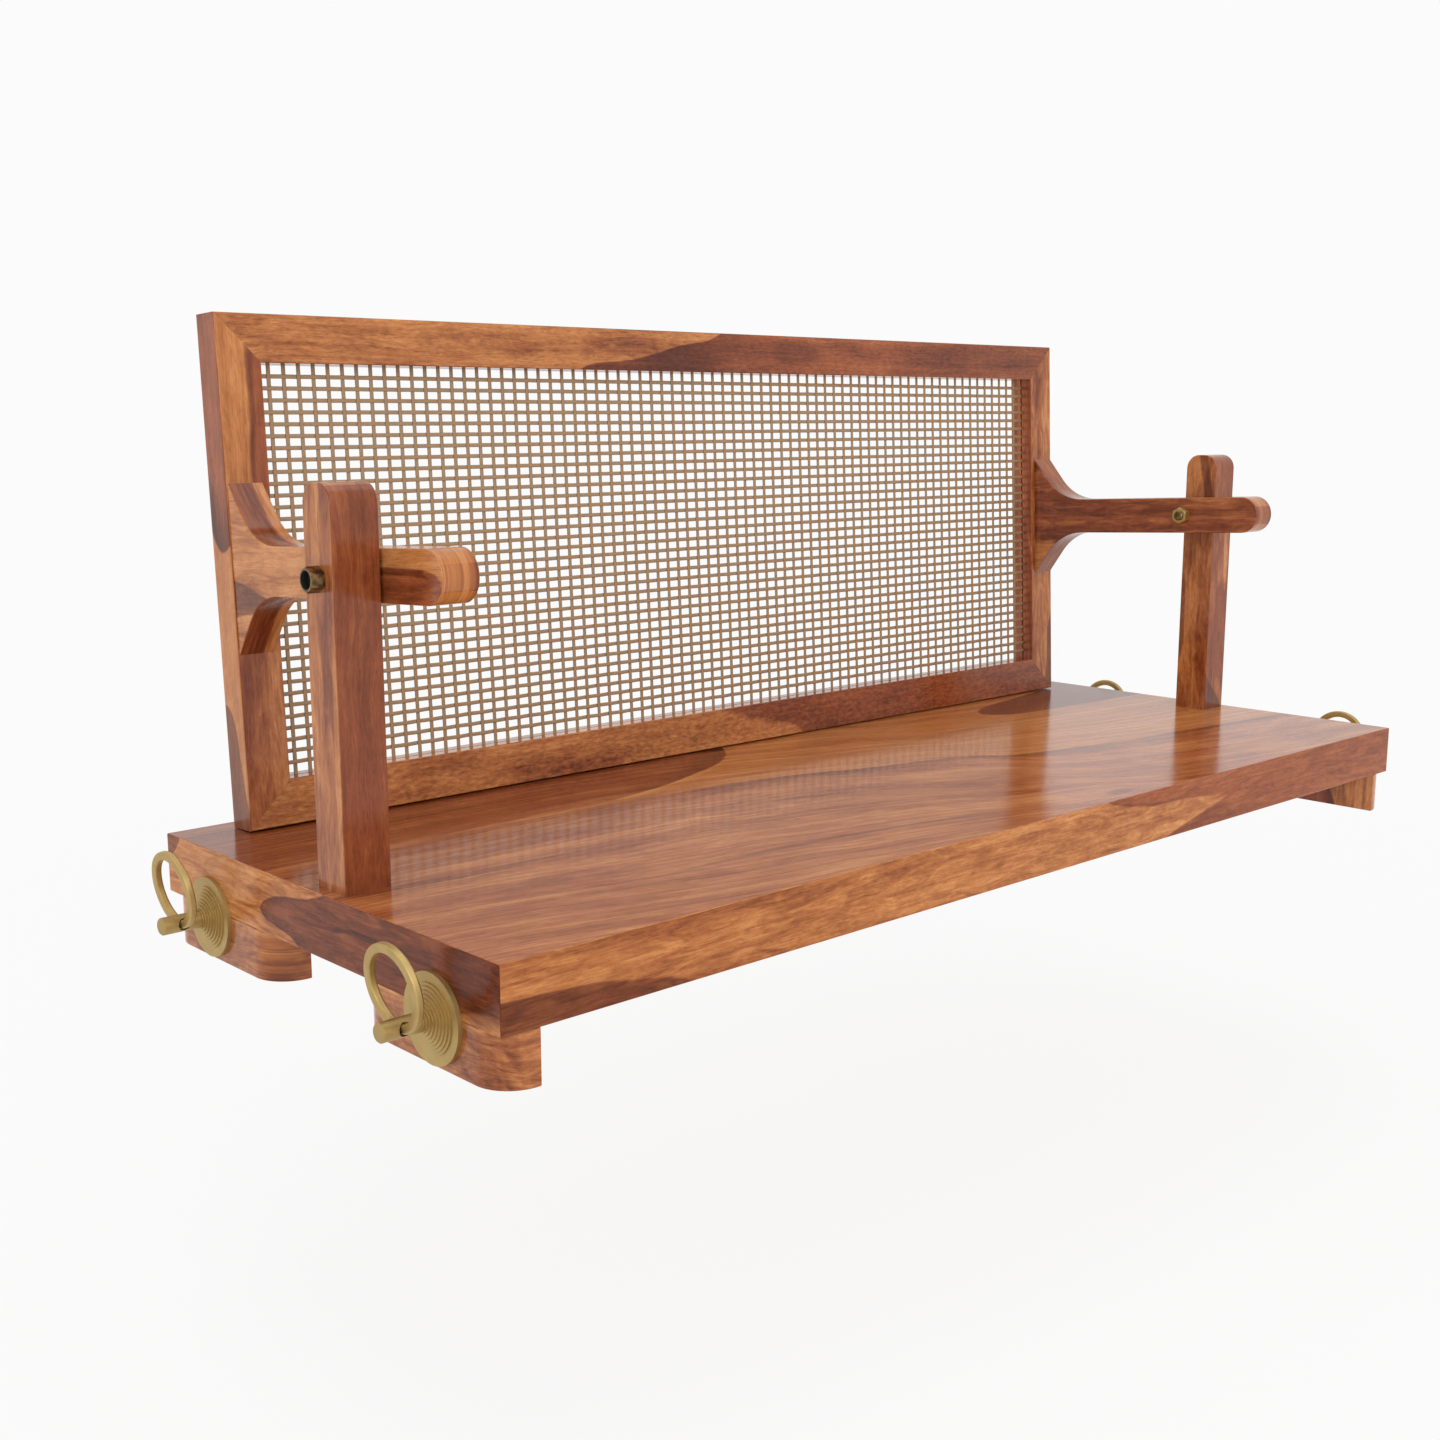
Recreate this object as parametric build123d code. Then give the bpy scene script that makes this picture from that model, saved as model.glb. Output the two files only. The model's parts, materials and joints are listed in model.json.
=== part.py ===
from build123d import *
from math import cos, hypot, radians, sin, sqrt, tan
import os

# Hanging swing seat whose cane back swings over between two posts, so it can be sat on from either side.
# Millimetres. Origin: plan centre of the seat, level with the underside of the corner blocks.
# +X runs along the seat to the right, the rest position of the back is at +Y, +Z is up.

# Seat board
seat_length = 1370.0
seat_depth = 533.0
seat_thickness = 56.0
edge_ease = 1.2                 # rounding of the worked timber edges

# Corner blocks under the seat ends
block_length = 198.0            # along Y
block_width = 36.0              # along X
block_height = 46.0
block_round = 34.0              # plan radius of the two outer corners

# Posts
post_width = 44.0               # along X
post_depth = 43.5               # along Y
post_height = 336.0             # above the seat
post_top_round = 17.5
post_inset = 11.6               # seat end to the post's outer face
post_y = -15.0                  # post centre and pivot, a little in front of the seat's centre line
tenon_width = 24.0
tenon_depth = 26.0
tenon_floor = 16.0              # timber left under the tenon
tenon_clearance = 0.1

# Back frame
back_lean = 2.75                # degrees from upright
frame_height = 479.0
frame_thickness = 34.0
frame_member = 44.5             # face width of rails and stiles
frame_side_clearance = 1.4      # frame edge to post, each side
seat_rest_gap = 0.3             # frame's lower edge above the seat at rest

# Cane net in the frame's groove
net_thickness = 2.2
net_strand = 3.1
net_gaps_across = 25
net_gaps_down = 12
net_edge = 7.0                  # part of the net inside the groove
groove_depth = 8.0
groove_clearance = 0.2

# Arms, measured from the pivot
pivot_height = 259.0            # above the seat
arm_reach = 236.5               # pivot back to the frame's face
arm_nose = 105.5                # pivot forward to the tip
arm_height = 45.2
arm_thickness = 36.0
flare_height = 158.0            # arm where it meets the frame
flare_slope = 52.0              # degrees, from the frame down to the arm
flare_radius = 70.0             # from that slope into the arm's edge

# Pivot bolts, nuts and spacer washers
bolt_diameter = 12.0
bolt_head_flats = 19.0
bolt_head_height = 12.0
head_dish_diameter = 15.5
head_dish_depth = 6.0
hex_chamfer = 1.0
bolt_tail = 2.5                 # bolt past the nut
nut_flats = 19.0
nut_height = 10.0
washer_diameter = 24.0
washer_thickness = 2.5
washer_gap = 0.2                # each face of the washer, and arm to nut
running_clearance = 0.06        # arm bore on the bolt, radial
fixed_clearance = 0.05          # pieces that don't turn on each other, radial

# Hanger plates and pins
hanger_y = 181.0                # pin axis from the seat's centre line
hanger_drop = 6.3               # pin axis below the seat's underside
plate_diameter = 74.0
plate_thickness = 4.0
plate_steps = 8
step_rise = 1.25
step_run = 2.75
step_land = 1.25                # top step beyond the pin's shoulder
pin_diameter = 16.0
pin_reach = 50.0                # pin end beyond the seat end
pin_chamfer = 1.2
shank_diameter = 10.0
shank_cover = 3.0               # timber left behind the shank

# Rings
ring_station = 30.6             # cross hole beyond the seat end
ring_radius = 32.2              # to the middle of the band
ring_band_width = 7.6           # radial
ring_band_depth = 7.2           # along the ring's axis
ring_band_round = 2.0
ring_lean = 8.3                 # degrees outward
ring_clearance = 0.45

# Screws and dowels
screw_tip = 6.0
screw_sink = 0.5                # screw head below the surface
screw_cross = 4.6
screw_cross_width = 1.1
screw_cross_depth = 1.6
block_screw_diameter = 5.0
block_screw_head = 9.5
block_screw_bite = 26.0         # into the seat
block_screw_spread = 130.0
post_screw_diameter = 6.0
post_screw_head = 11.5
post_screw_bite = 58.0          # into the tenon and post
arm_screw_diameter = 5.0
arm_screw_head = 9.5
arm_screw_bite = 44.0           # into the arm
arm_screw_spread = 44.0
dowel_diameter = 8.0
dowel_length = 36.0

# Places that follow from the sizes above
seat_bottom = block_height
seat_top = seat_bottom + seat_thickness
seat_end = seat_length / 2
post_outer = seat_end - post_inset
post_inner = post_outer - post_width
post_x = (post_outer + post_inner) / 2
frame_width = 2 * (post_inner - frame_side_clearance)
arm_outer = post_inner - washer_thickness - 2 * washer_gap
arm_inner = arm_outer - arm_thickness
arm_x = (arm_outer + arm_inner) / 2
nut_face = arm_inner - washer_gap
pivot_z = seat_top + pivot_height
lean_sin = sin(radians(back_lean))
lean_cos = cos(radians(back_lean))
back_face = arm_reach + frame_thickness
frame_drop = (pivot_height - seat_rest_gap - back_face * lean_sin) / lean_cos
net_y = arm_reach + frame_thickness / 2
block_x = seat_end - block_width / 2
block_y = (seat_depth - block_length) / 2
pin_z = seat_bottom - hanger_drop
ring_x = seat_end + ring_station
plate_crown = plate_thickness + plate_steps * step_rise
shank_depth = block_width - shank_cover
groove_width = net_thickness + groove_clearance
back_place = Pos(0, post_y, pivot_z) * Rot(-back_lean, 0, 0)

sides = {"left": -1, "right": 1}
ends = {"front": -1, "back": 1}


def on_side(solid, side):
    # Pieces are drawn for the right end of the seat and mirrored to the left
    return solid if side > 0 else mirror(solid, about=Plane.YZ)


def at_end(solid, end):
    # Corner pieces are drawn at the back and mirrored to the front
    return solid if end > 0 else mirror(solid, about=Plane.XZ)


def turned(outline):
    # Solid of revolution about X from (x, radius) points
    return revolve(make_face(Polyline(*outline, close=True)), Axis.X)


def hexagon(flats, start, length):
    # Hexagon bar along X with two corners up and down and its outer end chamfered
    bar = extrude(Plane.YZ * RegularPolygon(flats / 2, 6, major_radius=False, rotation=30), length)
    corner = flats / sqrt(3)
    rim = corner - 2 * hex_chamfer
    cone = turned([(0, 0), (0, corner), (length - hex_chamfer, corner), (length, rim), (length, 0)])
    return Pos(start, 0, 0) * (bar & cone)


def rod_x(radius, start, stop):
    # Plain round bar along X between two places
    return Pos((start + stop) / 2, 0, 0) * Rot(0, 90, 0) * Cylinder(radius, abs(stop - start))


def screw_shape(diameter, head, length, grow=0.0):
    # Countersunk screw along +X with its head at the origin; grow turns it into the hole that takes it
    shank = diameter / 2 + grow
    rim = head / 2 + grow
    return turned([(0, 0), (0, rim), (rim - shank, shank), (length - screw_tip, shank), (length + grow, 0)])


def wood_screw(diameter, head, length):
    slot = Box(2 * screw_cross_depth, screw_cross, screw_cross_width)
    cross = slot + Rot(90, 0, 0) * slot
    return Pos(screw_sink, 0, 0) * (screw_shape(diameter, head, length) - cross)


def screw_hole(diameter, head, length):
    mouth = rod_x(head / 2 + fixed_clearance, -2 * screw_sink, 0)
    return Pos(screw_sink, 0, 0) * (screw_shape(diameter, head, length, fixed_clearance) + mouth)


upward = Rot(0, -90, 0)
forward = Rot(0, 0, -90)


def post_screw_place(side):
    return Pos(side * post_x, post_y, seat_bottom) * upward


def block_screw_places():
    return [
        Pos(side * block_x, end * block_y + offset * block_screw_spread / 2, 0) * upward
        for side in sides.values()
        for end in ends.values()
        for offset in (-1, 1)
    ]


def arm_screw_places(side):
    return [
        Pos(side * arm_x, back_face, offset * arm_screw_spread / 2) * forward
        for offset in (-1, 1)
    ]


post_screw_size = (post_screw_diameter, post_screw_head, tenon_floor + post_screw_bite)
block_screw_size = (block_screw_diameter, block_screw_head, block_height + block_screw_bite)
arm_screw_size = (arm_screw_diameter, arm_screw_head, frame_thickness + arm_screw_bite)


def seat_board():
    board = Pos(0, 0, seat_bottom + seat_thickness / 2) * Box(seat_length, seat_depth, seat_thickness)
    board = fillet(board.edges(), edge_ease)
    depth = seat_thickness - tenon_floor
    mortise = Box(tenon_width + 2 * tenon_clearance, tenon_depth + 2 * tenon_clearance, depth)
    cuts = [place * screw_hole(*block_screw_size) for place in block_screw_places()]
    for side in sides.values():
        cuts.append(Pos(side * post_x, post_y, seat_top - depth / 2) * mortise)
        cuts.append(post_screw_place(side) * screw_hole(*post_screw_size))
    return board - cuts


def shank_hole(side, end):
    bore = rod_x(shank_diameter / 2 + fixed_clearance, seat_end, seat_end - shank_depth)
    return Pos(0, end * hanger_y, pin_z) * on_side(bore, side)


def corner_block(side, end):
    block = Pos(block_x, block_y, block_height / 2) * Box(block_width, block_length, block_height)
    uprights = block.edges().filter_by(Axis.Z)
    block = fillet(uprights.group_by(Axis.X)[-1], block_round)
    block = fillet(block.faces().sort_by(Axis.Z)[0].edges(), edge_ease)
    block = at_end(on_side(block, side), end)
    cuts = [place * screw_hole(*block_screw_size) for place in block_screw_places()]
    return block - cuts - shank_hole(side, end)


def post(side):
    upright = Pos(0, post_height / 2) * Rectangle(post_depth, post_height)
    crown = upright.vertices().group_by(Axis.Y)[-1]
    upright = fillet(crown, post_top_round)
    shaft = extrude(Plane.YZ * upright, post_width / 2, both=True)
    rims = shaft.faces().filter_by(Axis.X).edges()
    shaft = fillet(rims.filter_by(lambda e: e.center().Z > edge_ease), edge_ease)
    length = seat_thickness - tenon_floor
    shaft += Pos(0, 0, -length / 2) * Box(tenon_width, tenon_depth, length)
    shaft = Pos(post_x, post_y, seat_top) * shaft
    bore = rod_x(bolt_diameter / 2 + fixed_clearance, post_outer, post_inner)
    shaft -= Pos(0, post_y, pivot_z) * bore
    return on_side(shaft, side) - post_screw_place(side) * screw_hole(*post_screw_size)


def pivot_bolt(side):
    end = nut_face - nut_height - bolt_tail
    shank = rod_x(bolt_diameter / 2, end, post_outer)
    shank = chamfer(shank.edges().sort_by(Axis.X)[0], hex_chamfer)
    head = hexagon(bolt_head_flats, post_outer, bolt_head_height)
    top = post_outer + bolt_head_height
    dish = rod_x(head_dish_diameter / 2, top - head_dish_depth, top)
    return on_side(Pos(0, post_y, pivot_z) * (shank + head - dish), side)


def pivot_nut(side):
    nut = mirror(hexagon(nut_flats, 0, nut_height), about=Plane.YZ)
    bore = rod_x(bolt_diameter / 2 + fixed_clearance, -nut_height, 0)
    return on_side(Pos(nut_face, post_y, pivot_z) * (nut - bore), side)


def spacer_washer(side):
    disc = rod_x(washer_diameter / 2, post_inner - washer_gap - washer_thickness, post_inner - washer_gap)
    bore = rod_x(bolt_diameter / 2 + fixed_clearance, arm_outer, post_inner)
    return on_side(Pos(0, post_y, pivot_z) * (disc - bore), side)


def arm(side):
    # Outline in the arm's own plane: pivot at the origin, frame behind at +arm_reach
    half = arm_height / 2
    flare = flare_height / 2
    slope = radians(flare_slope)
    knee = arm_reach - (flare - half) / tan(slope)
    neck = knee - flare_radius * tan(slope / 2)
    nose = half - arm_nose
    outline = [Line((arm_reach, -flare), (arm_reach, flare))]
    outline.append(Line((arm_reach, flare), (knee, half)))
    outline.append(Line((knee, half), (nose, half)))
    outline.append(ThreePointArc((nose, half), (-arm_nose, 0), (nose, -half)))
    outline.append(Line((nose, -half), (knee, -half)))
    outline.append(Line((knee, -half), (arm_reach, -flare)))
    profile = make_face(outline)
    knees = profile.vertices().group_by(Axis.X)[1]
    profile = fillet(knees, flare_radius)
    plank = Pos(arm_inner, 0, 0) * extrude(Plane.YZ * profile, arm_thickness)
    rims = plank.faces().filter_by(Axis.X).edges()
    plank = fillet(rims.filter_by(lambda e: e.center().Y < neck), edge_ease)
    plank -= rod_x(bolt_diameter / 2 + running_clearance, arm_inner, arm_outer)
    plank -= [place * screw_hole(*arm_screw_size) for place in arm_screw_places(1)]
    return back_place * on_side(plank, side)


def corner_dowels(corner_x, corner_z):
    # Two dowels square to one mitre, each side of the net's groove
    across = (frame_thickness + groove_width) / 4
    x = corner_x * (frame_width - frame_member) / 2
    z = frame_height / 2 - frame_drop + corner_z * (frame_height - frame_member) / 2
    turn = 45 if corner_x * corner_z > 0 else -45
    return [Pos(x, net_y + step * across, z) * Rot(0, turn, 0) for step in (-1, 1)]


def dowel_places():
    return [place for x in (-1, 1) for z in (-1, 1) for place in corner_dowels(x, z)]


def frame_bar(length):
    # Bar with mitred ends: outer edge on Z = 0, front face on Y = 0, groove in the inner edge
    half = length / 2
    inner = half - frame_member
    outline = [(-half, 0), (half, 0), (inner, frame_member), (-inner, frame_member)]
    bar = extrude(Plane.XZ * make_face(Polyline(*outline, close=True)), -frame_thickness)
    bar = fillet(bar.edges().filter_by(Axis.X), edge_ease)
    groove = Box(length, groove_width, groove_depth)
    return bar - Pos(0, frame_thickness / 2, frame_member - groove_depth / 2) * groove


def frame_piece(length, place, screws=()):
    bar = place * frame_bar(length)
    bore = Cylinder(dowel_diameter / 2 + fixed_clearance, dowel_length + 2 * fixed_clearance)
    cuts = [spot * bore for spot in dowel_places()]
    cuts += [spot * screw_hole(*arm_screw_size) for spot in screws]
    return back_place * (bar - cuts)


def rail(end):
    edge = frame_height - frame_drop if end > 0 else -frame_drop
    turn = 180 if end > 0 else 0
    return frame_piece(frame_width, Pos(0, arm_reach, edge) * Rot(0, turn, 0))


def stile(side):
    middle = frame_height / 2 - frame_drop
    place = Pos(side * frame_width / 2, arm_reach, middle) * Rot(0, -90 * side, 0)
    return frame_piece(frame_height, place, arm_screw_places(side))


def cane_net():
    # One holed sheet: square-cut gaps over the opening and a plain edge inside the groove
    opening_width = frame_width - 2 * frame_member
    opening_height = frame_height - 2 * frame_member
    pitch_x = (opening_width + net_strand) / net_gaps_across
    pitch_z = (opening_height + net_strand) / net_gaps_down
    gap = (pitch_x - net_strand, pitch_z - net_strand)
    border = Wire.make_rect(opening_width + 2 * net_edge, opening_height + 2 * net_edge)
    holes = [
        Pos((i - (net_gaps_across - 1) / 2) * pitch_x, (j - (net_gaps_down - 1) / 2) * pitch_z)
        * Wire.make_rect(*gap)
        for i in range(net_gaps_across)
        for j in range(net_gaps_down)
    ]
    sheet = extrude(Plane.XZ * Face(border, holes), net_thickness / 2, both=True)
    return back_place * Pos(0, net_y, frame_height / 2 - frame_drop) * sheet


def hanger_plate(side, end):
    # Flat rim, then steps that climb to the crown the pin's shoulder sits on
    outline = [(0, shank_diameter / 2 + fixed_clearance), (0, plate_diameter / 2)]
    outline.append((plate_thickness, plate_diameter / 2))
    for step in range(plate_steps):
        radius = pin_diameter / 2 + step_land + (plate_steps - 1 - step) * step_run
        height = plate_thickness + step * step_rise
        outline += [(height, radius), (height + step_rise, radius)]
    outline.append((plate_crown, shank_diameter / 2 + fixed_clearance))
    return Pos(0, end * hanger_y, pin_z) * on_side(Pos(seat_end, 0, 0) * turned(outline), side)


def hanger_pin(side, end):
    radius = pin_diameter / 2
    shank = shank_diameter / 2
    outline = [(-shank_depth, 0), (-shank_depth, shank), (plate_crown, shank), (plate_crown, radius)]
    outline += [(pin_reach - pin_chamfer, radius), (pin_reach, radius - pin_chamfer), (pin_reach, 0)]
    # The cross hole clears the band's corners, which dip towards the ring's middle at the pin's sides
    dip = ring_radius - sqrt(ring_radius**2 - radius**2)
    inner = ring_band_width / 2 - ring_band_round + dip
    corner = hypot(inner, ring_band_depth / 2 - ring_band_round) + ring_band_round
    cross = Rot(90, 0, 0) * Cylinder(corner + ring_clearance, 2 * pin_diameter)
    pin = turned(outline) - Pos(ring_station, 0, 0) * cross
    return Pos(0, end * hanger_y, pin_z) * on_side(Pos(seat_end, 0, 0) * pin, side)


def hanger_ring(side, end):
    # Stands up from the pin's cross hole and leans outward
    band = Pos(ring_radius, 0) * RectangleRounded(ring_band_width, ring_band_depth, ring_band_round)
    ring = revolve(Plane.XZ * band, Axis.Z)
    ring = Pos(0, 0, ring_radius) * Rot(0, 90, 0) * ring
    ring = Pos(ring_x, 0, 0) * Rot(0, ring_lean, 0) * ring
    return Pos(0, end * hanger_y, pin_z) * on_side(ring, side)


nodes = {"seat_board": seat_board(), "cane_net": cane_net()}
nodes["bottom_rail"] = rail(-1)
nodes["top_rail"] = rail(1)
for side_name, side_sign in sides.items():
    nodes[f"post_{side_name}"] = post(side_sign)
    nodes[f"arm_{side_name}"] = arm(side_sign)
    nodes[f"stile_{side_name}"] = stile(side_sign)
    nodes[f"pivot_bolt_{side_name}"] = pivot_bolt(side_sign)
    nodes[f"pivot_nut_{side_name}"] = pivot_nut(side_sign)
    nodes[f"spacer_washer_{side_name}"] = spacer_washer(side_sign)
    for end_name, end_sign in ends.items():
        corner = f"{end_name}_{side_name}"
        nodes[f"corner_block_{corner}"] = corner_block(side_sign, end_sign)
        nodes[f"hanger_plate_{corner}"] = hanger_plate(side_sign, end_sign)
        nodes[f"hanger_pin_{corner}"] = hanger_pin(side_sign, end_sign)
        nodes[f"ring_{corner}"] = hanger_ring(side_sign, end_sign)

peg = Cylinder(dowel_diameter / 2, dowel_length)
nodes["frame_dowels"] = Compound(children=[back_place * spot * peg for spot in dowel_places()])
block_screw = wood_screw(*block_screw_size)
nodes["block_screws"] = Compound(children=[spot * block_screw for spot in block_screw_places()])
post_screw = wood_screw(*post_screw_size)
nodes["post_screws"] = Compound(children=[post_screw_place(side) * post_screw for side in sides.values()])
arm_screw = wood_screw(*arm_screw_size)
arm_spots = [spot for side in sides.values() for spot in arm_screw_places(side)]
nodes["arm_screws"] = Compound(children=[back_place * spot * arm_screw for spot in arm_spots])

os.makedirs("parts", exist_ok=True)
for name, solid in nodes.items():
    export_step(solid, f"parts/{name}.step")
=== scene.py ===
import json
import math
import bpy
from mathutils import Matrix, Vector

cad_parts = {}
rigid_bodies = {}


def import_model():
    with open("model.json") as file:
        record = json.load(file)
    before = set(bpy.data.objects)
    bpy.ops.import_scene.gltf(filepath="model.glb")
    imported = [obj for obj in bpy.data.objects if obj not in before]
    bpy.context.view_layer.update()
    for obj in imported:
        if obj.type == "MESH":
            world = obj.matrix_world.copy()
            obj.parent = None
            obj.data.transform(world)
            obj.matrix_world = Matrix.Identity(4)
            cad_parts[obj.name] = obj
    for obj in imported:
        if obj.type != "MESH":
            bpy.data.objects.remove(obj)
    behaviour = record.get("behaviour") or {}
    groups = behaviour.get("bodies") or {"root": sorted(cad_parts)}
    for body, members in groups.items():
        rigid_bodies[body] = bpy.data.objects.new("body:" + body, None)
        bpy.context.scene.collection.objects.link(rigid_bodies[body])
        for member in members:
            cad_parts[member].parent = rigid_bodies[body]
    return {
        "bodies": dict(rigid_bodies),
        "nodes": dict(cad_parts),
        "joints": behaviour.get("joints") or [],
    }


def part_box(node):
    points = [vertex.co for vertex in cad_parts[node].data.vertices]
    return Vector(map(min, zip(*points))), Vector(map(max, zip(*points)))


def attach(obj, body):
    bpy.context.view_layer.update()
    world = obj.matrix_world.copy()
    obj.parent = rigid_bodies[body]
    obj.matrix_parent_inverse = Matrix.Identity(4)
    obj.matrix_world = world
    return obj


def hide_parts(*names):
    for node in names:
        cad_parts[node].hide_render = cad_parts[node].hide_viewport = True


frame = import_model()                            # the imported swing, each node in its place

kept = set(frame["nodes"].values()) | set(frame["bodies"].values())
for stray in set(bpy.data.objects) - kept:   # whatever the empty file came with
    bpy.data.objects.remove(stray)
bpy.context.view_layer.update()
bpy.context.scene.view_settings.view_transform = "Standard"
print("swing loaded:", len(frame["nodes"]), "nodes")

# Marks on a piece are in millimetres on its own faces, counted from its left, front, lower corner
mm = 0.001
joints = {joint["name"]: Vector(joint["pos_m"]) for joint in frame["joints"]}
back = {"lean": 2.75, "pivot": joints["back_flip"]}
backTurn = Matrix.Rotation(math.radians(-back["lean"]), 4, "X")
backPlace = Matrix.Translation(back["pivot"]) @ backTurn


class Wire:                                  # a socket in a node tree; its operators add Math nodes
    def __init__(self, tree, socket=None):
        self.tree = tree
        self.socket = socket

    def add(self, kind, settings=None, inputs=None, out=0):     # any node: settings, then values or links
        node = self.tree.nodes.new("ShaderNode" + kind)
        for name, value in (settings or {}).items():
            if name == "stops":
                elements = node.color_ramp.elements
                while len(elements) < len(value):
                    elements.new(1.0)
                for element, (place, colour) in zip(elements, value):
                    element.position = place
                    element.color = (*colour, 1.0)
            elif name == "points":
                points = node.mapping.curves[0].points
                while len(points) < len(value):
                    points.new(1.0, 1.0)
                for point, place in zip(points, value):
                    point.location = place
                    point.handle_type = "AUTO_CLAMPED"
                node.mapping.update()
            else:
                setattr(node, name, value)
        for name, value in (inputs or {}).items():
            if isinstance(value, Wire):
                self.tree.links.new(value.socket, node.inputs[name])
            else:
                node.inputs[name].default_value = value
        return Wire(self.tree, node.outputs[out] if node.outputs else None)

    def math(self, operation, *values):
        return self.add("Math", {"operation": operation}, dict(enumerate(values)))

    def __add__(self, other):
        return self.math("ADD", self, other)

    def __sub__(self, other):
        return self.math("SUBTRACT", self, other)

    def __rsub__(self, other):
        return self.math("SUBTRACT", other, self)

    def __mul__(self, other):
        return self.math("MULTIPLY", self, other)

    def __truediv__(self, other):
        return self.math("DIVIDE", self, other)

    def __rtruediv__(self, other):
        return self.math("DIVIDE", other, self)

    def __gt__(self, other):
        return self.math("GREATER_THAN", self, other)

    def __lt__(self, other):
        return self.math("LESS_THAN", self, other)

    __radd__ = __add__
    __rmul__ = __mul__


def newMaterial(name):
    material = bpy.data.materials.new(name)
    material.use_nodes = True
    material.node_tree.nodes.clear()
    return material, Wire(material.node_tree)


def finishMaterial(board, shader):
    board.add("OutputMaterial", {}, {"Surface": shader})


def principled(board, sockets):              # one shader with these sockets, straight to the output
    finishMaterial(board, board.add("BsdfPrincipled", {}, sockets))


def bumped(height, look):                    # a normal from a height
    return height.add("Bump", {}, {"Height": height, "Strength": look["bump"],
                                   "Distance": look["bumpDepth"] * mm})


def smooth(value, low, high):                # 0 to 1 between two places, eased
    return value.add("MapRange", {"interpolation_type": "SMOOTHSTEP"}, {0: value, 1: low, 2: high})


def top(a, b):
    return a.math("MAXIMUM", a, b)


def clamp(value):
    return value.add("Clamp", {}, {"Value": value})


def pick(mask, a, b):                        # a where the mask is 0, b where it is 1
    return mask.add("Mix", {"data_type": "FLOAT"}, {0: mask, 2: a, 3: b})


def tint(mask, a, b):                        # the same for colours
    return mask.add("Mix", {"data_type": "RGBA"}, {0: mask, 6: a, 7: b}, 2)


def shade(colour, value):                    # colour times a value
    return colour.add("VectorMath", {"operation": "SCALE"}, {0: colour, "Scale": value})


def noise(place, size, detail=2.0, rough=0.5, wisp=0.0):     # blotches that long, wide and deep
    spot = place[0].add("CombineXYZ", {}, {i: place[i] * (1 / size[i]) for i in range(3)})
    return spot.add("TexNoise", {}, {"Vector": spot, "Scale": 1.0, "Detail": detail, "Roughness": rough,
                                     "Distortion": wisp})


def localPoints(node, place):                # a node's corners in a piece's own axes, millimetres
    inverse = place.inverted()
    return [inverse @ v.co / mm for v in frame["nodes"][node].data.vertices]


def lowCorner(node, place):
    points = localPoints(node, place)
    return Vector(min(p[i] for p in points) for i in range(3))


def highCorner(node, place):
    points = localPoints(node, place)
    return Vector(max(p[i] for p in points) for i in range(3))


def pieceAxes(board, node, place):           # x, y, z in millimetres from the piece's low corner
    low = place @ (lowCorner(node, place) * mm)
    spot = board.add("TexCoord", {}, {}, "Object")
    turn = {"Location": low, "Rotation": place.to_euler(), "Scale": (mm, mm, mm)}
    spot = board.add("Mapping", {"vector_type": "TEXTURE"}, {"Vector": spot, **turn})
    return {axis: spot.add("SeparateXYZ", {}, {0: spot}, i) for i, axis in enumerate("xyz")}


def swingAxes(board):                        # x, y, z in millimetres in the swing's own axes
    spot = board.add("TexCoord", {}, {}, "Object")
    return [spot.add("SeparateXYZ", {}, {0: spot}, i) / mm for i in range(3)]


def faceMasks(board):                        # 1 on the faces that look each way
    normal = board.add("TexCoord", {}, {}, "Normal")
    ways = [normal.add("SeparateXYZ", {}, {0: normal}, i) for i in range(3)]
    square = 0.5
    masks = {}
    for way, (low, high) in zip(ways, (("left", "right"), ("front", "back"), ("bottom", "top"))):
        masks[low] = way < -square
        masks[high] = way > square
    return masks


def dress(nodes, material):
    for node in nodes:
        for slot in frame["nodes"][node].material_slots:
            slot.material = material


# Rosewood: three tones, each from its dark streaks to its pale ones
tones = {
    "gold": [(0.0, (0.20, 0.056, 0.014)), (0.35, (0.385, 0.127, 0.034)), (0.65, (0.51, 0.190, 0.056)),
             (1.0, (0.65, 0.292, 0.104))],
    "red": [(0.0, (0.10, 0.020, 0.007)), (0.35, (0.225, 0.052, 0.016)), (0.65, (0.32, 0.084, 0.026)),
            (1.0, (0.45, 0.145, 0.050))],
    "heart": [(0.0, (0.030, 0.006, 0.002)), (0.35, (0.085, 0.015, 0.005)), (0.65, (0.14, 0.027, 0.008)),
              (1.0, (0.22, 0.052, 0.016))],
}
finish = {"roughness": 0.14, "poreRoughness": 0.1, "fibreRoughness": 0.06, "bump": 0.2, "bumpDepth": 0.12}
relief = {"line": 0.5, "fibre": 0.35, "pore": -0.8, "dash": -0.4}
grain = {
    "sway": (520, 110, 60), "swayBy": 18,    # slow wander of the grain
    "swirl": (75, 34, 20), "swirlBy": 5,     # smaller turns
    "flow": (240, 46, 60), "ring": 7.5,      # growth rings, drawn as the contours of a slow field
    "dash": (11, 1.25, 6), "dashCut": (0.53, 0.66), "ringDash": 0.035,      # vessels, most along the rings
    "ragged": (60, 22, 30),                  # wander of a patch's edge
    "curlSlant": 0.4, "middle": 0.53, "seedStep": 211.0, "faceStep": 97.0,
}
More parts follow.
